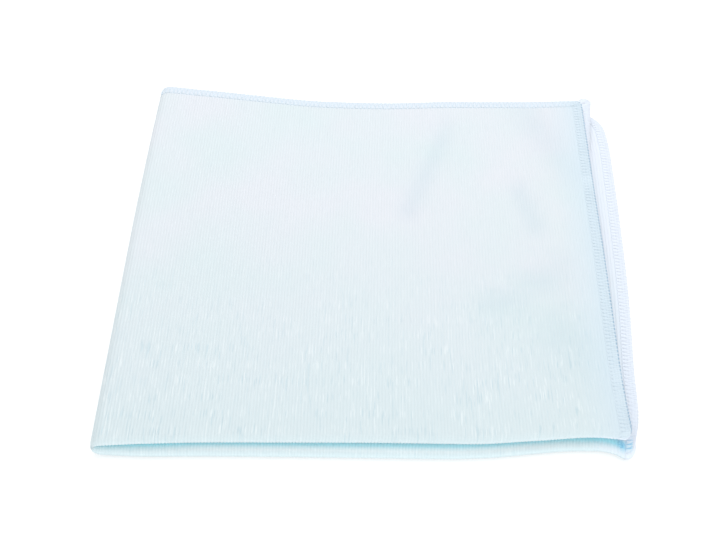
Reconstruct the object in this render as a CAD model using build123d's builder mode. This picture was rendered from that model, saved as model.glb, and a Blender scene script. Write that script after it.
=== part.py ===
"""A square knitted microfibre polishing cloth, folded in quarters. Millimetres, X right, Y back, Z up.

The first fold is the front edge, and makes a pair of layers joined by a half-round fold. The second fold
is the left edge, and lays an upper pair on a lower pair: its outer bend joins layers 1 and 4, its inner
bend layers 2 and 3. The upper pair opens to the left, like a book, about a line just outside the outer
bend, so both bends are cut at the middle level. The other two sides are free and overlocked with three
threads: a needle thread, and an upper and a lower looper thread that meet on the raw edge.

Both halves have one profile. A height is given as n, the distance from the middle level, and a place in
the fabric as t, the depth below its good side, and d, the distance inside its raw edge.
"""

import os
from math import pi

from build123d import *

# Driving dimensions
CUT_ACROSS = 408.0  # finished size across the ribs, along X
CUT_ALONG = 396.0  # finished size along the ribs, along Y
FABRIC = 1.2  # thickness of the ribbed knit
LAYER_GAP = 1.8  # air between the two layers of a pair
HALF_GAP = 0.8  # air between the lower and the upper pair
UNDERLAP = 9.0  # how far the lower pair reaches past the upper pair on the right
CORNER = 5.0  # radius of the cloth's corners
HEM = 4.0  # width of the overlock, from the raw edge to the needle thread
NEEDLE = 0.4  # width of the needle thread
WRAP = 0.2  # depth that the threads press into each side of the fabric
PURL = 0.4  # thread outside the raw edge
SLIT = 0.3  # gap between the halves of a bend, and again between the opened halves

# Distances n of each layer's good side, and which way t runs from it
INNER_FACE = HALF_GAP / 2
OUTER_FACE = INNER_FACE + 2 * FABRIC + LAYER_GAP
GOOD_SIDE = {"outer": (OUTER_FACE, -1), "inner": (INNER_FACE, 1)}
MIDDLE = OUTER_FACE

# The front fold is a half ring about a line between the layers of a pair
FOLD_N = (INNER_FACE + OUTER_FACE) / 2
FOLD_RADIUS = LAYER_GAP / 2 + FABRIC

# Flat lengths, after what the middle of the fabric uses in each fold
FLAT_ALONG = (CUT_ALONG - pi * (FOLD_RADIUS - FABRIC / 2)) / 2
FLAT_ACROSS = CUT_ACROSS - pi * (OUTER_FACE - FABRIC / 2)
LOWER_ACROSS = (FLAT_ACROSS + UNDERLAP) / 2
UPPER_ACROSS = (FLAT_ACROSS - UNDERLAP) / 2

# Places, with the origin under the centre of the folded cloth's box
X_BEND = (OUTER_FACE - LOWER_ACROSS - PURL) / 2
Y_FOLD = (FOLD_RADIUS - FLAT_ALONG - PURL) / 2
Y_BACK = Y_FOLD + FLAT_ALONG
SEAM = HEM + NEEDLE

# A pair's side of the middle level, its name, its place on the right and its layers' numbers
HALVES = [
    (-1, "lower", X_BEND + LOWER_ACROSS, {"outer": 1, "inner": 2}),
    (1, "upper", X_BEND + UPPER_ACROSS, {"outer": 4, "inner": 3}),
]

# Sections of the fabric and of each thread at the raw edge, as blocks (d from, d to, t from, t to)
TO_FOLD = None  # in place of d: all the way to the fold
FABRIC_SECTION = [(SEAM, TO_FOLD, 0, FABRIC), (0, SEAM, WRAP, FABRIC - WRAP)]
THREAD_SECTIONS = {
    "needle_thread": [(HEM, SEAM, 0, WRAP), (HEM, SEAM, FABRIC - WRAP, FABRIC)],
    "upper_looper": [(0, HEM, 0, WRAP), (-PURL, 0, 0, FABRIC / 2)],
    "lower_looper": [(0, HEM, FABRIC - WRAP, FABRIC), (-PURL, 0, FABRIC / 2, FABRIC)],
}


def outline(right, d):
    """Draws a flat layer's plan, d inside its raw edge, with the free corner rounded."""
    width = right - d - X_BEND
    depth = Y_BACK - d - Y_FOLD
    with Locations((X_BEND + width / 2, Y_FOLD + depth / 2)):
        Rectangle(width, depth)
    free_corner = vertices().sort_by(Axis.X)[-2:].sort_by(Axis.Y)[-1]
    fillet(free_corner, CORNER - d)


def add_flat(side, right, layer, section):
    """Adds the flat part of a section, in one layer of a pair."""
    face, inward = GOOD_SIDE[layer]
    for d_from, d_to, t_from, t_to in section:
        with BuildSketch(Plane.XY.offset(MIDDLE + side * (face + inward * t_from))) as plan:
            outline(right, d_from)
            if d_to is not TO_FOLD:
                with BuildSketch(mode=Mode.PRIVATE) as middle:
                    outline(right, d_to)
                add(middle.sketch, mode=Mode.SUBTRACT)
        extrude(plan.sketch, amount=side * inward * (t_to - t_from), dir=(0, 0, 1))


def draw_fold_ring(side, t_from, t_to):
    """Draws the front half of the front fold's ring, with local x along Y and local y along Z."""
    with Locations((Y_FOLD, MIDDLE + side * FOLD_N)):
        Circle(FOLD_RADIUS - t_from)
        Circle(FOLD_RADIUS - t_to, mode=Mode.SUBTRACT)
        Rectangle(FOLD_RADIUS, 2 * FOLD_RADIUS, align=(Align.MIN, Align.CENTER), mode=Mode.SUBTRACT)


def add_front_fold(side, right, section):
    """Adds a section along the straight front fold of a pair, where d runs in from the right end."""
    for d_from, d_to, t_from, t_to in section:
        x_from = X_BEND if d_to is TO_FOLD else right - d_to
        with BuildSketch(Plane.YZ.offset(x_from)) as ring:
            draw_fold_ring(side, t_from, t_to)
        extrude(ring.sketch, amount=right - d_from - x_from, dir=(1, 0, 0))


def add_left_bend(side, layer, section):
    """Adds a section in one pair's half of a left bend, where d runs in from the back end."""
    face, inward = GOOD_SIDE[layer]
    toward_half = Align.MAX if side < 0 else Align.MIN
    for d_from, d_to, t_from, t_to in section:
        y_from = Y_FOLD if d_to is TO_FOLD else Y_BACK - d_to
        radii = sorted((face + inward * t_from, face + inward * t_to))
        with BuildSketch(Plane.XZ.offset(-y_from)) as quarter:
            with Locations((X_BEND, MIDDLE)):
                Circle(radii[1])
                Circle(radii[0], mode=Mode.SUBTRACT)
            with Locations((X_BEND, MIDDLE + side * SLIT / 2)):
                Rectangle(radii[1], radii[1], align=(Align.MAX, toward_half), mode=Mode.INTERSECT)
        extrude(quarter.sketch, amount=Y_BACK - d_from - y_from, dir=(0, 1, 0))


def save(piece, name):
    """Labels a finished piece and writes it as parts/NAME.step."""
    piece.part.label = name
    export_step(piece.part, f"parts/{name}.step")


def make_layer(side, right, layer, number):
    """One flat quarter of the cloth."""
    with BuildPart() as quarter:
        add_flat(side, right, layer, FABRIC_SECTION)
    save(quarter, f"layer_{number}")


def make_front_fold(side, half, right):
    """The half-round fold that joins the layers of one pair."""
    with BuildPart() as fold:
        add_front_fold(side, right, FABRIC_SECTION)
    save(fold, f"front_fold_{half}")


def make_front_corner(side, half):
    """The end of the front fold, turned round the left bend up to the middle level."""
    with BuildPart() as corner:
        with BuildSketch(Plane.YZ.offset(X_BEND)) as ring:
            draw_fold_ring(side, 0, FABRIC)
        bend_axis = Axis((X_BEND, 0, MIDDLE), (0, -side, 0))
        revolve(ring.sketch, axis=bend_axis, revolution_arc=90)
        kept = Keep.BOTTOM if side < 0 else Keep.TOP
        split(bisect_by=Plane.XY.offset(MIDDLE + side * SLIT / 2), keep=kept)
    save(corner, f"front_corner_{half}")


def make_left_bend(side, half, layer):
    """One pair's half of the bend round the left edge, in its outer or its inner layer."""
    with BuildPart() as bend:
        add_left_bend(side, layer, FABRIC_SECTION)
    save(bend, f"left_bend_{layer}_{half}")


def make_thread(thread, side, right, layer, number):
    """One overlock thread along a layer's free sides, and round the folds where it leaves the layer."""
    section = THREAD_SECTIONS[thread]
    with BuildPart() as run:
        add_flat(side, right, layer, section)
        add_left_bend(side, layer, section)
        if layer == "outer":
            add_front_fold(side, right, section)
    save(run, f"{thread}_{number}")


os.makedirs("parts", exist_ok=True)

for side, half, right, numbers in HALVES:
    make_front_fold(side, half, right)
    make_front_corner(side, half)
    for layer, number in numbers.items():
        make_layer(side, right, layer, number)
        make_left_bend(side, half, layer)
        for thread in THREAD_SECTIONS:
            make_thread(thread, side, right, layer, number)

print(f"folded {OUTER_FACE + LOWER_ACROSS + PURL:.1f} x {FOLD_RADIUS + FLAT_ALONG + PURL:.1f} mm, {2 * MIDDLE:.1f} high")
print(f"hinge line at x {X_BEND - OUTER_FACE - SLIT / 2:.2f}, z {MIDDLE:.2f} mm")
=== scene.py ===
"""The looks of the folded polishing cloth: one ribbed sheet and the three threads of its overlocked edge.

The cloth is laid out flat first, in millimetres: s across the ribs from the left fold (below 0 the lower pair
of layers, above 0 the upper pair), v along the ribs from the front fold (below 0 the outer layers, above 0
the inner ones) and t into the fabric from its good side. place() then folds it as it lies.
"""

from math import cos, pi, radians, sin

import bpy
import numpy as np
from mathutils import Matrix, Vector


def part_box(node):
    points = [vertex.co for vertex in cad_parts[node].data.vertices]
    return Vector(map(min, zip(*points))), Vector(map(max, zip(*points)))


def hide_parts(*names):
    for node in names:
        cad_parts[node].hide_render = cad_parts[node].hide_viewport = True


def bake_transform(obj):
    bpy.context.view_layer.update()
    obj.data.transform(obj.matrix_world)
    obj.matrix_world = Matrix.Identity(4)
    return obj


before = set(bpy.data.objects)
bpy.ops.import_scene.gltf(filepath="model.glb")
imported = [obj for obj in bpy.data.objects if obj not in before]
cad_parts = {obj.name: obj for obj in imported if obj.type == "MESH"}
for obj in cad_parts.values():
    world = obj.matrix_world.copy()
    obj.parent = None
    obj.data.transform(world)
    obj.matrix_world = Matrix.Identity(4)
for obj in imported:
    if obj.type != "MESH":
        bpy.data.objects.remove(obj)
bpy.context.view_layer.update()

MM = 0.001

# The fabric and its edge, as in the CAD model
FABRIC = 1.2
HEM = 4.0
WRAP = 0.2

# Radii of the cloth's corners, which are not all cut alike
CORNERS = {("lower", "outer"): 6.0, ("lower", "inner"): 13.0,
           ("upper", "outer"): 3.0, ("upper", "inner"): 3.0}

# Ribs of the knit: their spacing, the depth of a groove, its profile over one rib, and the share of its depth
# that the hem presses out
RIB = 1.2
RIB_DEPTH = 0.30
RIB_PROFILE = [1.0, 0.3, 0.0, 0.3]
RIB_PRESSED = 0.6
BACK_MARK = -1.0  # stands in for the profile on the back

# How far inside the raw edge the fabric is pressed as in the hem, and where it is loose again
PRESSED_TO = HEM + 0.1
LOOSE_FROM = HEM + 1.1

# The sheet's grids: the spacing of their rows, and the number of columns on the plain back
GOOD_ROW = 11.0
BACK_ROW = 14.0
BACK_COLUMNS = 171

# Closer rows: at the hems by their distance inside the raw edge, and near the front fold by their distance
# along the cloth from its middle. Even rows fill the stretch between them, and a few go round the fold
HEM_ROWS = [0, 0.6, 1.6, 2.8, 3.8, 4.4, 5.2, 7]
OUTER_FOLD_ROWS = [11, 7, 4.5]
INNER_FOLD_ROWS = [7, 4.5]
EVEN_ROWS_END = 14
ROWS_ROUND_FOLD = 12

# How far inside the raw edge the rows start to follow a rounded corner
CORNER_ZONE = 24.0

CLOTH_NODES = ["layer_1", "layer_2", "layer_3", "layer_4",
               "front_fold_lower", "front_fold_upper", "front_corner_lower", "front_corner_upper",
               "left_bend_outer_lower", "left_bend_outer_upper",
               "left_bend_inner_lower", "left_bend_inner_upper"]


def node_box(node):
    """A CAD node's lowest and highest corners, in millimetres."""
    low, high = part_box(node)
    return np.array(low) / MM, np.array(high) / MM


# Places of the folded cloth, read from the CAD model
LOWER_HIGH = node_box("layer_1")[1]
UPPER_LOW, UPPER_HIGH = node_box("layer_4")
X_BEND = UPPER_LOW[0]
Y_FOLD = UPPER_LOW[1]
Y_BACK = UPPER_HIGH[1]
MIDDLE = UPPER_HIGH[2] / 2
INNER_FACE = MIDDLE - node_box("layer_2")[1][2]
FOLD_N = (MIDDLE + INNER_FACE) / 2
FOLD_RADIUS = (MIDDLE - INNER_FACE) / 2
LOWER_ACROSS = LOWER_HIGH[0] - X_BEND
UPPER_ACROSS = UPPER_HIGH[0] - X_BEND
FLAT_ALONG = Y_BACK - Y_FOLD

# Half of the flat length that each fold takes, along the middle of the fabric
FOLD_ARC = pi / 2 * (FOLD_RADIUS - FABRIC / 2)
BEND_ARC = pi / 2 * (MIDDLE - FABRIC / 2)
S_LOWER = BEND_ARC + LOWER_ACROSS
S_UPPER = BEND_ARC + UPPER_ACROSS
V_END = FOLD_ARC + FLAT_ALONG
FOLD_ROWS_REACH = FOLD_ARC * 1.15

# How the real cloth lies, as (place, move) in millimetres from its neat CAD place. The front and back edges
# are moved along Y and the right ones along X, by places on the plan
FRONT_LOWER = [(-99, -1.0), (-85, -1.4), (-60, -0.9), (-20, -0.6), (30, -0.5), (46, 0.2), (64, 2.2),
               (79, 3.8), (89, 4.0), (95, 2.8), (100, 0.2), (104, -0.4)]
FRONT_UPPER = [(-99, -0.2), (-85, 0.8), (-60, 1.9), (-30, 2.4), (10, 2.9), (35, 2.9), (60, 4.2), (82, 5.8),
               (95, 5.0)]
BACK_OUTER_UPPER = [(-99, 1.8), (-90, 1.2), (-60, -2.4), (-23, -6.7), (2, -7.5), (33, -5.7), (75, -4.8),
                    (95, -4.0)]
BACK_INNER_UPPER = [(-99, 1.4), (-90, 0.8), (-60, -3.2), (-23, -7.5), (2, -8.3), (50, -6.2), (84, -4.4),
                    (91, 0.4), (95, 0.6)]
BACK_INNER_LOWER = [(-99, 2.0), (-60, -3.8), (-23, -8.0), (2, -9.0), (60, -7.0), (104, -6.0)]
BACK_OUTER_LOWER = [(-99, 2.5), (-60, -3.4), (-23, -7.6), (2, -8.6), (60, -7.6), (104, -7.4)]
RIGHT_OUTER_UPPER = [(-99, -0.6), (-60, -1.1), (0, -0.8), (40, -0.9), (97, -1.0)]
RIGHT_INNER_UPPER = [(-99, -1.4), (0, -1.2), (50, -0.6), (80, 2.0), (97, 4.2)]
RIGHT_INNER_LOWER = [(-99, -8.0), (-90, -6.4), (-76, -4.6), (-60, -4.0), (-27, -1.8), (0, -0.6), (60, 0.6),
                     (70, 0.7), (82, 0.2), (97, -1.5)]
RIGHT_OUTER_LOWER = [(-99, -8.0), (-90, -6.6), (-76, -5.2), (-27, -3.0), (30, -2.6), (97, -3.2)]

# The left fold's move along X, and how far the lip of the upper front fold rises, which fades out behind it
LEFT = [(-99, 0.0), (0, 0.0), (60, 0.6), (97, 1.4)]
LIFT_UPPER = [(-99, 0.0), (35, 0.0), (60, 0.9), (82, 1.3), (95, 0.6)]
LIFT_FADE = 22.0

# How far each level n reaches round the left fold, where the inner layers are pressed outward
BEND_NEST = [(-0.6, 1.8), (0.4, 2.8), (1.6, 3.55), (3.4, 3.7), (4.6, 4.6), (5.6, 5.6)]

# Rounding of the front folds' right ends, which fades out behind the fold
TIP_LOWER = 5.0
TIP_UPPER = 2.5
TIP_FADE = 10.0

# How far the layers sink toward each other, once they are well past the front fold and the left bend
OUTER_SINK = 0.75
INNER_SINK_LOWER = 0.5
INNER_SINK_UPPER = 0.15
SINK_PAST_FOLD = 16.0
SINK_PAST_BEND = 14.0

# Shallow dents in the top layer: their ends on the plan and their width
DENTS = [((31, 77), (13, 24), 4.5), ((69, 88), (88, 46), 8.0), ((61, 40), (67, 14), 4.5),
         ((76, -12), (45, -34), 6.0), ((74, -48), (92, -68), 13.0)]
DENT_DEPTH = 0.55


def smoothstep(value, start, end):
    """0 before start, 1 after end, and a soft rise between them."""
    f = np.clip((value - start) / (end - start), 0, 1)
    return f * f * (3 - 2 * f)


def mixed(share, first, second):
    """first where share is 0 and second where it is 1."""
    return first * (1 - share) + second * share


def curve(at, points):
    """Values at the given places of the smooth line through (place, value) points, with no overshoot."""
    px, py = np.array(points, float).T
    rise = np.diff(py) / np.diff(px)
    product = rise[1:] * rise[:-1]
    same_way = product > 0
    total = np.where(same_way, rise[1:] + rise[:-1], 1)
    inner_slope = np.where(same_way, 2 * product / total, 0)
    slope = np.concatenate([rise[:1], inner_slope, rise[-1:]])
    i = np.clip(np.searchsorted(px, at) - 1, 0, len(px) - 2)
    span = px[i + 1] - px[i]
    f = np.clip((at - px[i]) / span, 0, 1)
    lean = span * (slope[i] * f * (1 - f) ** 2 - slope[i + 1] * f * f * (1 - f))
    return mixed(f * f * (3 - 2 * f), py[i], py[i + 1]) + lean


def dented(x, y):
    """1 along the middle of each dent, and 0 away from them."""
    most = np.zeros_like(x)
    for (x1, y1), (x2, y2), width in DENTS:
        run = np.array([x2 - x1, y2 - y1], float)
        f = np.clip(((x - x1) * run[0] + (y - y1) * run[1]) / (run @ run), 0, 1)
        away = np.hypot(x - x1 - f * run[0], y - y1 - f * run[1])
        most = np.maximum(most, np.exp(-((away / width) ** 2)))
    return most


def outer_sink(x, y):
    """How far the top layer sinks into the stack: a broad swell, a slanting one, and the dents."""
    broad = 0.14 * np.sin(x / 17 + 1.3) * np.sin(y / 26 + 0.4)
    slanting = 0.08 * np.sin((x + 0.6 * y) / 13)
    return OUTER_SINK + broad + slanting + DENT_DEPTH * dented(x, y)


def inner_sink(x, y, upper):
    """How far the inner layers sink toward the outer ones, with a soft swell in the lower pair."""
    swell = 0.2 * np.sin(y / 21 + x / 37)
    return mixed(upper, INNER_SINK_LOWER + swell, INNER_SINK_UPPER)


def inside_side(s):
    """How far points lie inside the raw edge on the right."""
    return np.where(s > 0, S_UPPER - s, S_LOWER + s)


def rounded(inside, radius):
    """How far a round corner stands back from the square one, by the distance inside the side edge."""
    return radius - np.sqrt(radius ** 2 - np.clip(radius - inside, 0, radius) ** 2)


def place(s, v, t):
    """Folds points of the flat cloth: first round the front fold, then round the left one."""
    s, v, t = np.broadcast_arrays(np.asarray(s, float), np.asarray(v, float), np.asarray(t, float))
    upper = (s > 0).astype(float)
    side = np.where(s > 0, 1.0, -1.0)
    past_bend = np.maximum(np.abs(s) - BEND_ARC, 0)
    past_fold = np.maximum(np.abs(v) - FOLD_ARC, 0)
    turn = np.clip(v / FOLD_ARC, -1, 1) * pi / 2
    swing = np.clip(np.abs(s) / BEND_ARC, 0, 1) * pi / 2
    inner = (1 + np.sin(turn)) / 2

    # Neat place on the plan, which the moves are looked up by
    plan_x = X_BEND + past_bend
    plan_y = Y_FOLD + past_fold
    front = mixed(upper, curve(plan_x, FRONT_LOWER), curve(plan_x, FRONT_UPPER))
    back = mixed(upper,
                 mixed(inner, curve(plan_x, BACK_OUTER_LOWER), curve(plan_x, BACK_INNER_LOWER)),
                 mixed(inner, curve(plan_x, BACK_OUTER_UPPER), curve(plan_x, BACK_INNER_UPPER)))
    right = mixed(upper,
                  mixed(inner, curve(plan_y, RIGHT_OUTER_LOWER), curve(plan_y, RIGHT_INNER_LOWER)),
                  mixed(inner, curve(plan_y, RIGHT_OUTER_UPPER), curve(plan_y, RIGHT_INNER_UPPER)))
    across = past_bend / mixed(upper, LOWER_ACROSS, UPPER_ACROSS)
    along = past_fold / FLAT_ALONG

    # Distance n from the middle level, and the sinking of the layers between the folds
    n = FOLD_N - (FOLD_RADIUS - t) * np.sin(turn)
    loose = smoothstep(past_fold, 0, SINK_PAST_FOLD) * smoothstep(past_bend, 0, SINK_PAST_BEND)
    n = n - loose * (1 - inner) * outer_sink(plan_x, plan_y) * upper
    n = n + loose * inner * inner_sink(plan_x, plan_y, upper)

    tip = rounded(inside_side(s), mixed(upper, TIP_LOWER, TIP_UPPER)) * np.exp(-((past_fold / TIP_FADE) ** 2))
    lift = upper * curve(plan_x, LIFT_UPPER) * np.exp(-((past_fold / LIFT_FADE) ** 2))
    nest = np.interp(n, *np.array(BEND_NEST).T)
    x = plan_x + across * right - nest * np.cos(swing) + curve(plan_y, LEFT) * (1 - across)
    y = plan_y + mixed(along, front, back) + tip - (FOLD_RADIUS - t) * np.cos(turn)
    z = MIDDLE + side * n * np.sin(swing) + lift
    return np.stack([x, y, z], axis=-1)


def corner_radius(s, v):
    """The radius of the cloth's corner in each point's quarter."""
    inner = (v > 0).astype(float)
    lower = mixed(inner, CORNERS["lower", "outer"], CORNERS["lower", "inner"])
    upper = mixed(inner, CORNERS["upper", "outer"], CORNERS["upper", "inner"])
    return np.where(s > 0, upper, lower)


def inside_edge(s, v):
    """How far each flat point lies inside the raw edge."""
    radius = corner_radius(s, v)
    from_side = inside_side(s)
    from_end = V_END - np.abs(v)
    beyond_s = np.maximum(radius - from_side, 0)
    beyond_v = np.maximum(radius - from_end, 0)
    in_corner = (beyond_s > 0) & (beyond_v > 0)
    return np.where(in_corner, radius - np.hypot(beyond_s, beyond_v), np.minimum(from_side, from_end))


def trimmed(s, v):
    """Draws the rows in at the rounded corners, so that the sheet ends on its raw edge."""
    depth = np.clip((np.abs(v) - (V_END - CORNER_ZONE)) / CORNER_ZONE, 0, 1)
    return np.sign(v) * (np.abs(v) - depth * rounded(inside_side(s), corner_radius(s, v)))


def rows(spacing):
    """Places of the rows along the ribs, close at the hems and round the front fold."""
    hem = [V_END - d for d in HEM_ROWS]
    even = list(np.arange(hem[-1] - spacing, EVEN_ROWS_END, -spacing))
    outer = [-v for v in hem + even + OUTER_FOLD_ROWS]
    fold = np.linspace(-FOLD_ROWS_REACH, FOLD_ROWS_REACH, ROWS_ROUND_FOLD)
    inner = sorted(hem + even + INNER_FOLD_ROWS)
    return np.array([*outer, *fold, *inner])


def new_mesh(name, points, faces, flats):
    """Makes an object from points in millimetres, which keep their places on the flat cloth."""
    mesh = bpy.data.meshes.new(name)
    mesh.from_pydata((points * MM).tolist(), [], faces)
    mesh.shade_smooth()
    attribute = mesh.attributes.new("flat", "FLOAT_VECTOR", "POINT")
    attribute.data.foreach_set("vector", flats.astype(np.float32).ravel())
    piece = bpy.data.objects.new(name, mesh)
    bpy.context.scene.collection.objects.link(piece)
    return piece


def add_number(piece, name, values):
    """Stores a number at each point of a piece, for its material."""
    attribute = piece.data.attributes.new(name, "FLOAT", "POINT")
    attribute.data.foreach_set("value", values.astype(np.float32).ravel())


def grid_faces(count_v, count_s, first, flip):
    """Quads of a grid whose points run along s in each row."""
    i = np.arange(count_v - 1)[:, None] * count_s + np.arange(count_s - 1)[None, :] + first
    quad = np.stack([i, i + 1, i + 1 + count_s, i + count_s], axis=-1).reshape(-1, 4)
    return (quad[:, ::-1] if flip else quad).tolist()


def border(s, v, first):
    """A grid's border: its point numbers in order, and their places from 0 to 1 round it."""
    count = len(s)
    fs = (s + S_LOWER) / (S_LOWER + S_UPPER)
    fv = (v + V_END) / (2 * V_END)
    last_row = (len(v) - 1) * count
    numbers = np.concatenate([np.arange(count), np.arange(1, len(v)) * count + count - 1,
                              last_row + np.arange(count - 2, -1, -1), np.arange(len(v) - 2, 0, -1) * count])
    places = np.concatenate([fs, 1 + fv[1:], 3 - fs[-2::-1], 4 - fv[-2:0:-1]]) / 4
    return numbers + first, places


def bridge(border_a, border_b):
    """Triangles between two closed borders, which step along whichever comes next round them."""
    (loop_a, at_a), (loop_b, at_b) = border_a, border_b
    at_a, at_b = np.append(at_a, 1.0), np.append(at_b, 1.0)
    loop_a, loop_b = np.append(loop_a, loop_a[0]), np.append(loop_b, loop_b[0])
    faces = []
    a = b = 0
    while a < len(at_a) - 1 or b < len(at_b) - 1:
        step_a = b == len(at_b) - 1 or (a < len(at_a) - 1 and at_a[a + 1] <= at_b[b + 1])
        after = loop_a[a + 1] if step_a else loop_b[b + 1]
        faces.append([int(loop_a[a]), int(after), int(loop_b[b])])
        if step_a:
            a += 1
        else:
            b += 1
    return faces


def make_cloth():
    """The whole cloth: a ribbed good side, a plain back, and the raw edge between them."""
    samples = len(RIB_PROFILE)
    rib_count = round((S_LOWER + S_UPPER) / RIB)
    grids = [(np.linspace(-S_LOWER, S_UPPER, rib_count * samples + 1), rows(GOOD_ROW), True),
             (np.linspace(-S_LOWER, S_UPPER, BACK_COLUMNS), rows(BACK_ROW), False)]
    points, flats, hems, dents, faces, borders = [], [], [], [], [], []
    first = 0
    for s_row, v_column, good_side in grids:
        s, v = np.meshgrid(s_row, v_column)
        v = trimmed(s, v)
        pressed = 1 - smoothstep(inside_edge(s, v), PRESSED_TO, LOOSE_FROM)
        rib = np.full_like(s, BACK_MARK)
        t = FABRIC - WRAP * pressed
        if good_side:
            rib = np.zeros_like(s) + np.array(RIB_PROFILE)[np.arange(len(s_row)) % samples]
            t = WRAP * pressed + RIB_DEPTH * rib * (1 - RIB_PRESSED * pressed)
        on_top = (s > 0) & (v < 0)
        points.append(place(s, v, t).reshape(-1, 3))
        flats.append(np.stack([s, v, rib], axis=-1).reshape(-1, 3))
        hems.append(pressed.ravel())
        dents.append((on_top * dented(X_BEND + s - BEND_ARC, Y_FOLD - v - FOLD_ARC)).ravel())
        faces += grid_faces(len(v_column), len(s_row), first, good_side)
        borders.append(border(s_row, v_column, first))
        first += s.size
    faces += bridge(*borders)
    cloth = new_mesh("ribbed_cloth", np.concatenate(points), faces, np.concatenate(flats))
    add_number(cloth, "hem", np.concatenate(hems))
    add_number(cloth, "dent", np.concatenate(dents))
    return cloth


# The sewn edge: the length of a stitch along the rim, and each kind of thread's path over one stitch as
# (share of the stitch, distance inside the raw edge, depth from the good side)
STITCH = 1.9
NEEDLE_PATH = [(0.0, 4.2, 0.5), (0.10, 4.2, 0.14), (0.30, 4.2, 0.05), (0.60, 4.2, 0.05), (0.82, 4.2, 0.14),
               (0.90, 4.2, 0.5), (0.93, 4.2, 1.10), (0.97, 4.2, 1.10)]
LOOPER_PATH = [(0.0, 4.1, 0.24), (0.12, 2.8, 0.20), (0.24, 1.4, 0.20), (0.31, 0.2, 0.20), (0.36, -0.14, 0.4),
               (0.62, -0.14, 0.4), (0.67, 0.2, 0.20), (0.76, 1.4, 0.20), (0.88, 2.8, 0.20)]

# Each thread's piece, CAD nodes and slot, then its radius, path, whether it lies on the back, and its shift
# in stitches
THREADS = [("needle_run", "needle_thread", "needle_thread", 0.13, NEEDLE_PATH, False, 0.0),
           ("upper_looper_run", "upper_looper", "looper_thread", 0.15, LOOPER_PATH, False, 0.0),
           ("lower_looper_run", "lower_looper", "looper_thread", 0.15, LOOPER_PATH, True, 0.5)]
LAYERS = (1, 2, 3, 4)
THREAD_SIDES = 5
CORNER_POINTS = 9
WINDS = 1.6  # turns of the strands per millimetre


def rim_line():
    """Points of the raw edge once round the flat cloth, with the run up to each and the way that it faces."""
    points, facing = [], []
    quarters = [(-1, -1, ("lower", "outer"), pi), (1, -1, ("upper", "outer"), 1.5 * pi),
                (1, 1, ("upper", "inner"), 2 * pi), (-1, 1, ("lower", "inner"), 2.5 * pi)]
    for side_s, side_v, quarter, start in quarters:
        radius = CORNERS[quarter]
        reach_s = S_UPPER if side_s > 0 else S_LOWER
        centre = np.array([side_s * (reach_s - radius), side_v * (V_END - radius)])
        for angle in np.linspace(start, start + pi / 2, CORNER_POINTS):
            points.append(centre + radius * np.array([cos(angle), sin(angle)]))
            facing.append(angle)
    points.append(points[0])
    facing.append(facing[0] + 2 * pi)
    points = np.array(points)
    run = np.concatenate([[0], np.cumsum(np.hypot(*np.diff(points, axis=0).T))])
    return run, points, np.array(facing)


def unit(vectors):
    """The same directions with length 1."""
    return vectors / np.linalg.norm(vectors, axis=1, keepdims=True)


def tube(centre, out, radius):
    """Points and quads of a closed tube along a closed line, where out is any way off the fabric."""
    ahead = unit(np.roll(centre, -1, axis=0) - np.roll(centre, 1, axis=0))
    beside = unit(np.cross(ahead, out))
    out = np.cross(beside, ahead)
    turn = np.arange(THREAD_SIDES) / THREAD_SIDES * 2 * pi
    ring = np.cos(turn)[None, :, None] * beside[:, None, :] + np.sin(turn)[None, :, None] * out[:, None, :]
    points = (centre[:, None, :] + radius * ring).reshape(-1, 3)
    i = np.arange(len(centre))[:, None] * THREAD_SIDES
    j = np.arange(THREAD_SIDES)[None, :]
    next_i = (i + THREAD_SIDES) % len(points)
    next_j = (j + 1) % THREAD_SIDES
    faces = np.stack([i + j, next_i + j, next_i + next_j, i + next_j], axis=-1).reshape(-1, 4).tolist()
    return points, faces


def make_thread(name, radius, path, on_back, shift):
    """One thread of the overlock as a tube, once round the whole cloth."""
    run, line, facing = rim_line()
    stitches = round(run[-1] / STITCH)
    share, inside, depth = np.array(path).T
    at = ((np.arange(stitches)[:, None] + share[None, :] + shift) / stitches * run[-1]).ravel() % run[-1]
    inside = np.tile(inside, stitches)
    depth = np.tile(FABRIC - depth if on_back else depth, stitches)
    angle = np.interp(at, run, facing)
    s = np.interp(at, run, line[:, 0]) - inside * np.cos(angle)
    v = np.interp(at, run, line[:, 1]) - inside * np.sin(angle)
    centre = place(s, v, depth)
    a_little = 0.05
    out = place(s, v, depth - a_little) - centre
    points, faces = tube(centre, out, radius)
    flats = np.repeat(np.stack([s, v, inside], axis=-1), THREAD_SIDES, axis=0)
    thread = new_mesh(name, points, faces, flats)
    add_number(thread, "wind", at[:, None] * WINDS + np.arange(THREAD_SIDES) / THREAD_SIDES)
    return thread


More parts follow.
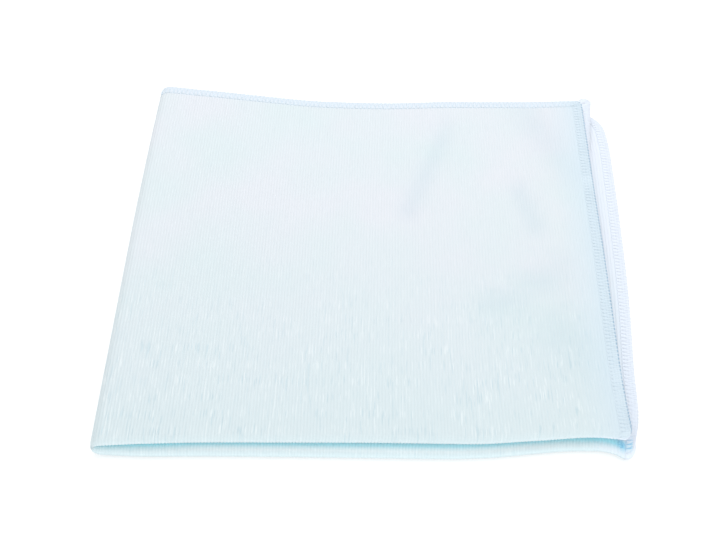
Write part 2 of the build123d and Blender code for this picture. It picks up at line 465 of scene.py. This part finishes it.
class Nodes:
    """Short ways to lay out a material's nodes."""

    def __init__(self, name):
        self.material = bpy.data.materials.new(name)
        self.material.use_nodes = True
        self.tree = self.material.node_tree
        self.tree.nodes.clear()
        self.shader = self.add("ShaderNodeBsdfPrincipled")
        output = self.add("ShaderNodeOutputMaterial")
        self.link(self.shader.outputs["BSDF"], output.inputs["Surface"])

    def add(self, kind, **settings):
        node = self.tree.nodes.new(kind)
        for key, value in settings.items():
            setattr(node, key, value)
        return node

    def link(self, output, socket):
        self.tree.links.new(output, socket)

    def feed(self, socket, value):
        """Links a node's output to a socket, or sets it to a plain number or colour."""
        if isinstance(value, bpy.types.NodeSocket):
            self.link(value, socket)
        elif isinstance(value, tuple):
            socket.default_value = (*value, 1)
        else:
            socket.default_value = value

    def set_shader(self, **values):
        """Sets sockets of the shader that are the same all over, with _ for a space in a name."""
        for name, value in values.items():
            self.feed(self.shader.inputs[name.replace("_", " ")], value)

    def number(self, name):
        """A number stored on the mesh."""
        return self.add("ShaderNodeAttribute", attribute_name=name).outputs["Fac"]

    def math(self, operation, a, b=0.0):
        node = self.add("ShaderNodeMath", operation=operation)
        self.feed(node.inputs[0], a)
        self.feed(node.inputs[1], b)
        return node.outputs[0]

    def plus(self, a, b):
        return self.math("ADD", a, b)

    def minus(self, a, b):
        return self.math("SUBTRACT", a, b)

    def times(self, first, *others):
        """The product of all the values."""
        for other in others:
            first = self.math("MULTIPLY", first, other)
        return first

    def over(self, value, divisor):
        return self.math("DIVIDE", value, divisor)

    def above(self, value, limit):
        """1 where the value is above the limit, and 0 elsewhere."""
        return self.math("GREATER_THAN", value, limit)

    def below(self, value, limit):
        """1 where the value is below the limit, and 0 elsewhere."""
        return self.math("LESS_THAN", value, limit)

    def size(self, value):
        """The value without its sign."""
        return self.math("ABSOLUTE", value)

    def rest(self, share):
        """What a share leaves of 1."""
        return self.minus(1.0, share)

    def vector(self, x, y):
        node = self.add("ShaderNodeCombineXYZ")
        self.feed(node.inputs[0], x)
        self.feed(node.inputs[1], y)
        return node.outputs[0]

    def noise(self, vector, scale, detail):
        node = self.add("ShaderNodeTexNoise")
        self.feed(node.inputs["Vector"], vector)
        self.feed(node.inputs["Scale"], scale)
        self.feed(node.inputs["Detail"], detail)
        return node.outputs["Fac"]

    def ramp(self, value, *stops):
        """Turns a value into a colour, by (value, colour) stops."""
        node = self.add("ShaderNodeValToRGB")
        elements = node.color_ramp.elements
        while len(elements) < len(stops):
            elements.new(0.5)
        for element, (position, colour) in zip(elements, stops):
            element.position = position
            element.color = (*colour, 1)
        self.feed(node.inputs[0], value)
        return node.outputs[0]

    def share(self, value, *stops):
        """Turns a value into a share, by (value, share) stops from 0 to 1."""
        return self.ramp(value, *[(at, (share, share, share)) for at, share in stops])

    def fade(self, distance, reach, *stops):
        """Turns a distance of 0 to reach into a share, by (millimetres, share) stops."""
        return self.share(self.over(distance, reach), *[(at / reach, share) for at, share in stops])

    def mix(self, share, a, b, blend="MIX"):
        node = self.add("ShaderNodeMix", data_type="RGBA", blend_type=blend)
        self.feed(node.inputs[0], share)
        self.feed(node.inputs[6], a)
        self.feed(node.inputs[7], b)
        return node.outputs[2]

    def multiplied(self, a, b):
        """One colour seen through another."""
        return self.mix(1.0, a, b, "MULTIPLY")

    def bump(self, height, strength, distance):
        node = self.add("ShaderNodeBump")
        node.inputs["Strength"].default_value = strength
        node.inputs["Distance"].default_value = distance
        self.link(height, node.inputs["Height"])
        self.link(node.outputs[0], self.shader.inputs["Normal"])


class ClothNodes(Nodes):
    """A material on the cloth, which reads each point's place on the flat cloth, in millimetres.

    The third value kept with the place is the rib's profile on the knit, and the distance inside the raw edge
    on the threads.
    """

    def __init__(self, name):
        super().__init__(name)
        attribute = self.add("ShaderNodeAttribute", attribute_name="flat")
        split = self.add("ShaderNodeSeparateXYZ")
        self.link(attribute.outputs["Vector"], split.inputs[0])
        self.s, self.v, self.third = split.outputs
        self.flat = self.vector(self.s, self.v)
        self.lower = self.below(self.s, 0.0)
        self.upper = self.above(self.s, 0.0)
        self.on_top = self.times(self.upper, self.below(self.v, 0.0))


# Reaches of the fades, in millimetres: along a layer, in from a side, and behind the front fold
ALONG = 200.0
FROM_SIDE = 60.0
BEHIND_FOLD = 20.0

# The fade of the painted shade on the front fold's underside: how far before the middle of the fold it
# starts, and its reach
UNDER_START = 2.0
UNDER_REACH = 4.0

# Tints of the knit away from its edges, with painted shade toward the front fold, in the rib grooves and
# along the dents
WHITE = (1.0, 1.0, 1.0)
DRIFT_TINTS = [(0.560, 0.645, 0.672), (0.612, 0.636, 0.690)]
FRONT_SHADE = (0.525, 0.625, 0.655)
TUFT_DARK = (0.80, 0.88, 0.915)
TUFT_LIGHT = (1.19, 1.14, 1.12)
FUZZ_TINTS = [(0.98, 0.985, 0.985), (1.01, 1.01, 1.01)]
GROOVE_SHADE = (0.46, 0.65, 0.73)
DENT_SHADE = (0.895, 0.935, 0.955)

# Tints of the hems and of the ribs beside them; the pale hem tint is partly painted light, and the inner side
# tint is painted light
HEM_TINT_AND_LIGHT = (0.68, 0.75, 0.865)
TOP_HEM_FRONT = (0.50, 0.645, 0.76)
TOP_HEM_BACK = (0.58, 0.66, 0.76)
TOP_SIDE_TINT = (0.50, 0.625, 0.71)
INNER_SIDE_LIGHT = (0.68, 0.76, 0.88)

# Painted light and shade round the front fold, from its nose to the gap behind it, on the knit and on the
# threads
NOSE_HIGHLIGHT = (0.60, 0.80, 0.86)
UNDER_SHADE = (0.48, 0.54, 0.55)
LEDGE_LIGHT = (0.80, 0.90, 0.93)
GAP_SHADE = (0.41, 0.87, 0.98)
GAP_END_SHADE = (0.32, 0.87, 0.98)
BESIDE_HEM_SHADE = (0.10, 0.38, 0.70)
THREAD_GAP_SHADE = (0.22, 0.55, 0.82)

# How strongly each thing shows
GROOVE_SHADE_SHARE = 0.10
HEM_SHARE = 0.7
NOSE_SHARE = 0.5
NOSE_LESS_ON_UPPER = 0.3
GAP_LESS_ON_UPPER = 0.5

# Sizes in the knit: a row of tufts, the length of a tuft, and a loop along the rib
TUFT_ROW = RIB / 3
TUFT_LENGTH = 8.0
TUFT_JUMP = 7.3  # from one row to the next through the noise, so that neighbours differ
LOOP = 0.7

# How far the gap's painted shade comes forward at the ends of the fold
GAP_SHIFT = 0.9

# The threads: how far inside the raw edge the gap's painted shade starts on them, and how near the right side
# their rim has a deeper blue painted shade
GAP_SHADE_INSIDE = 1.6
RIM_SHADE_FROM_SIDE = 2


class KnitNodes(ClothNodes):
    """The knit's material, with the values that several of its tints share."""

    def __init__(self):
        super().__init__("knit")
        self.hem = self.number("hem")
        self.fuzz = self.noise(self.flat, scale=1.8, detail=3.0)
        from_lower_side = self.plus(self.s, S_LOWER)
        self.from_side = self.math("MINIMUM", from_lower_side, self.minus(S_UPPER, self.s))
        near_bend = self.fade(self.size(self.s), FROM_SIDE, (9, 1), (48, 0))
        near_hem = self.fade(from_lower_side, FROM_SIDE, (3, 1), (42, 0))
        self.near_end = self.math("MAXIMUM", near_bend, near_hem)


def ground_colour(m):
    """A slow drift between two tints, which gives way toward the front fold to a darker, more cyan painted
    shade.
    """
    drift = m.noise(m.flat, scale=0.02, detail=2.0)
    tint = m.ramp(drift, (0.35, DRIFT_TINTS[0]), (0.65, DRIFT_TINTS[1]))
    # Painted shade: darker and more cyan toward the front fold.
    return m.mix(m.fade(m.size(m.v), ALONG, (10, 1), (120, 0)), tint, FRONT_SHADE)


def add_pile(m, colour):
    """Dark and light tufts along the ribs, clearest toward the front, with fuzz, and painted shade in the
    grooves and along the dents.
    """
    row = m.math("FLOOR", m.over(m.plus(m.s, S_LOWER), TUFT_ROW))
    tuft_place = m.vector(m.times(row, TUFT_JUMP), m.over(m.v, TUFT_LENGTH))
    tuft = m.noise(tuft_place, scale=1.0, detail=0.0)
    tufts = m.ramp(tuft, (0.27, TUFT_DARK), (0.37, WHITE), (0.62, WHITE), (0.72, TUFT_LIGHT))
    patches = m.share(m.noise(m.flat, scale=0.06, detail=1.0), (0.35, 0.3), (0.6, 1))
    clear = m.times(patches, m.fade(m.size(m.v), ALONG, (30, 1), (100, 0.15)))
    colour = m.multiplied(colour, m.mix(clear, WHITE, tufts))
    colour = m.multiplied(colour, m.ramp(m.fuzz, (0.3, FUZZ_TINTS[0]), (0.7, FUZZ_TINTS[1])))
    # Painted shade in the grooves between the ribs.
    groove = m.math("MAXIMUM", m.times(m.third, GROOVE_SHADE_SHARE), 0.0)
    colour = m.mix(groove, colour, GROOVE_SHADE)
    # Painted shade along the dents.
    return m.mix(m.number("dent"), colour, m.multiplied(colour, DENT_SHADE))


def tint_hems(m, colour):
    """The pressed fabric under the overlock, bluer in the top layer, and paler off it, partly as painted
    light that lifts the shade of the layers above.
    """
    at_back = m.fade(m.size(m.v), ALONG, (140, 0), (190, 1))
    top = m.mix(at_back, TOP_HEM_FRONT, TOP_HEM_BACK)
    # Off the top layer the pale tint is partly painted light.
    return m.mix(m.times(m.hem, HEM_SHARE), colour, m.mix(m.on_top, HEM_TINT_AND_LIGHT, top))


def paint_fold_light_and_shade(m, colour):
    """Painted light and shade at the front fold: a painted highlight on its nose, painted shade on its
    underside, and painted light on the ledge of the lower one.
    """
    # Painted highlight on the nose of each front fold.
    nose = m.fade(m.size(m.v), BEHIND_FOLD, (0.6, 1), (2.4, 0))
    nose = m.times(nose, m.minus(NOSE_SHARE, m.times(m.upper, NOSE_LESS_ON_UPPER)))
    colour = m.mix(nose, colour, NOSE_HIGHLIGHT)
    # Painted shade on the lower fold's underside, by the floor.
    under = m.fade(m.plus(m.v, UNDER_START), UNDER_REACH, (1.2, 0.8), (2.4, 0))
    colour = m.mix(m.times(under, m.lower), colour, UNDER_SHADE)
    # Painted light on the lower fold's ledge, which the upper fold shades.
    ledge = m.fade(m.v, BEHIND_FOLD, (1.4, 0), (2.6, 0.8), (3.6, 0.8), (4.4, 0))
    return m.mix(m.times(ledge, m.lower, m.rest(m.near_end)), colour, LEDGE_LIGHT)


def tint_sides(m, colour):
    """The ribs beside the right hems: bluer in the top layer, and in the inner ones paler and bluer, as
    painted light that lifts the shade of the layers above.
    """
    top = m.fade(m.from_side, FROM_SIDE, (3.6, 0.85), (16.8, 0))
    colour = m.mix(m.times(top, m.on_top), colour, TOP_SIDE_TINT)
    # Painted light: the inner layers beside the sides are paler where the layers above shade them.
    inner = m.fade(m.from_side, FROM_SIDE, (9, 0.6), (18, 0))
    return m.mix(m.times(inner, m.above(m.v, 0.0)), colour, INNER_SIDE_LIGHT)


def paint_gap_shade(m, colour):
    """Painted shade: deep cyan in the gap behind the front fold, and darker blue beside the hems."""
    # Painted shade in the gap behind the front fold, deep cyan.
    depth = m.plus(m.v, m.times(m.near_end, GAP_SHIFT))
    gap = m.fade(depth, BEHIND_FOLD, (2.0, 0.04), (3.2, 0.4), (4.4, 1), (6.0, 0.9), (8.4, 0))
    good_side = m.above(m.third, BACK_MARK / 2)
    off_hem = m.rest(m.times(m.hem, HEM_SHARE))
    gap = m.times(gap, m.rest(m.times(m.upper, GAP_LESS_ON_UPPER)), good_side, off_hem)
    toward_end = m.times(m.near_end, m.fade(m.v, BEHIND_FOLD, (1.2, 0.2), (4.0, 1)))
    colour = m.mix(gap, colour, m.mix(toward_end, GAP_SHADE, GAP_END_SHADE))
    # Painted shade: darker blue in the gap beside the hems.
    hem_shade_share = m.fade(m.from_side, FROM_SIDE, (3.0, 0), (4.2, 1), (6.0, 1), (8.4, 0))
    hem_shade_share = m.times(hem_shade_share, gap, m.share(m.fuzz, (0.4, 0.4), (0.6, 1)))
    return m.mix(hem_shade_share, colour, BESIDE_HEM_SHADE)


def knit_material():
    """Pale blue ribbed microfibre: knit loops along the ribs, tufts, tints that change over the cloth, and
    painted light and shade round the folds, hems and gap.
    """
    m = KnitNodes()
    colour = ground_colour(m)
    for step in (add_pile, tint_hems, paint_fold_light_and_shade, tint_sides, paint_gap_shade):
        colour = step(m, colour)
    m.feed(m.shader.inputs["Base Color"], colour)
    m.feed(m.shader.inputs["Roughness"], m.plus(0.78, m.times(m.fuzz, 0.2)))
    m.set_shader(Sheen_Weight=0.15, Sheen_Roughness=0.5, Sheen_Tint=(0.9, 0.95, 1.0), Specular_IOR_Level=0.25)
    loops = m.math("SINE", m.times(m.v, 2 * pi / LOOP))
    m.bump(m.plus(m.times(loops, 0.25), m.fuzz), strength=0.5, distance=0.00012)
    return m.material


def thread_material(name, colour, shade, top, rim):
    """Spun polyester: strands that wind round the thread, uneven in tint, paler off the top layer partly as
    painted light, with blue painted shade at the top layer's right rim and in the gap behind the front fold.
    """
    m = ClothNodes(name)
    patch = m.noise(m.flat, scale=0.7, detail=2.0)
    body = m.mix(m.on_top, m.ramp(patch, (0.3, shade), (0.7, colour)), top)
    # Painted shade: deep blue on the lower threads in the gap behind the front fold.
    gap_shade_share = m.fade(m.v, BEHIND_FOLD, (1.6, 0), (2.8, 1), (6, 1), (10, 0))
    gap_shade_share = m.times(gap_shade_share, m.lower, m.above(m.third, GAP_SHADE_INSIDE))
    body = m.mix(gap_shade_share, body, THREAD_GAP_SHADE)
    # Painted shade: a deeper blue rim where the top layer's right hem meets the layer below.
    at_side = m.above(m.s, S_UPPER - RIM_SHADE_FROM_SIDE)
    rim_shade_share = m.times(m.share(m.third, (0.1, 1), (0.6, 0)), m.on_top, at_side)
    m.feed(m.shader.inputs["Base Color"], m.mix(rim_shade_share, body, rim))
    m.feed(m.shader.inputs["Roughness"], m.plus(0.55, m.times(patch, 0.2)))
    m.set_shader(Sheen_Weight=0.2, Specular_IOR_Level=0.35)
    m.bump(m.math("SINE", m.times(m.number("wind"), 2 * pi)), strength=0.5, distance=0.00006)
    return m.material


def add_floor():
    """A plain pale floor, just below the cloth."""
    drop = 0.0001
    bpy.ops.mesh.primitive_plane_add(size=6, location=(0, 0, -drop))
    floor = bpy.context.object
    floor.name = "floor"
    m = Nodes("floor")
    m.set_shader(Base_Color=(0.98, 0.98, 0.98), Roughness=0.9, Specular_IOR_Level=0.1,
                 Emission_Color=WHITE, Emission_Strength=0.2)
    floor.data.materials.append(m.material)


def add_light(name, place_at, size, energy):
    """A square soft light that faces the origin."""
    light = bpy.data.lights.new(name, "AREA")
    light.size = size
    light.energy = energy
    lamp = bpy.data.objects.new(name, light)
    lamp.location = place_at
    lamp.rotation_euler = (-Vector(place_at)).to_track_quat("-Z", "Y").to_euler()
    bpy.context.scene.collection.objects.link(lamp)


def add_camera():
    """The photograph's view: from the front, half way up to overhead, and a little to the right."""
    elevation = radians(48.17)
    yaw = radians(1.07)
    distance = 0.522
    target = Vector((-0.0064, -0.0109, 0))
    back = Vector((sin(yaw) * cos(elevation), -cos(yaw) * cos(elevation), sin(elevation)))
    data = bpy.data.cameras.new("camera")
    data.lens = 63.1
    data.sensor_width = 36
    data.clip_start = 0.01
    camera = bpy.data.objects.new("camera", data)
    camera.location = target + distance * back
    camera.rotation_euler = back.to_track_quat("Z", "Y").to_euler()
    bpy.context.scene.collection.objects.link(camera)
    bpy.context.scene.camera = camera


def set_world():
    """Even white light from all round, and a bright view."""
    world = bpy.data.worlds.new("world")
    world.use_nodes = True
    background = world.node_tree.nodes["Background"]
    background.inputs["Color"].default_value = (0.97, 0.985, 1.0, 1)
    background.inputs["Strength"].default_value = 0.72
    bpy.context.scene.world = world
    bpy.context.scene.view_settings.view_transform = "Standard"
    bpy.context.scene.view_settings.gamma = 1.5


add_camera()
set_world()
add_floor()
add_light("key", (-0.02, 0.3, 0.5), size=0.5, energy=1.8)
add_light("fill", (0.6, 0.1, 0.9), size=0.9, energy=2.2)
add_light("front", (0.1, -0.75, 0.3), size=0.5, energy=2.0)

knit = knit_material()
# The rim colours are painted shade. The paler colours off the top layer are partly painted light that lifts
# the shade of the layers above.
needle = thread_material("needle_thread", colour=(0.66, 0.73, 0.82), shade=(0.58, 0.69, 0.80),
                         top=(0.57, 0.70, 0.79), rim=(0.16, 0.42, 0.70))
looper = thread_material("looper_thread", colour=(0.71, 0.77, 0.87), shade=(0.67, 0.74, 0.85),
                         top=(0.55, 0.685, 0.79), rim=(0.10, 0.27, 0.45))

cloth = make_cloth()
cloth.data.materials.append(knit)
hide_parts(*CLOTH_NODES)
threads = []
for name, cad_name, slot, *shape in THREADS:
    thread = make_thread(name, *shape)
    thread.data.materials.append(needle if slot == "needle_thread" else looper)
    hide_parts(*[f"{cad_name}_{layer}" for layer in LAYERS])
    threads.append(thread)
for piece in [cloth, *threads]:
    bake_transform(piece)
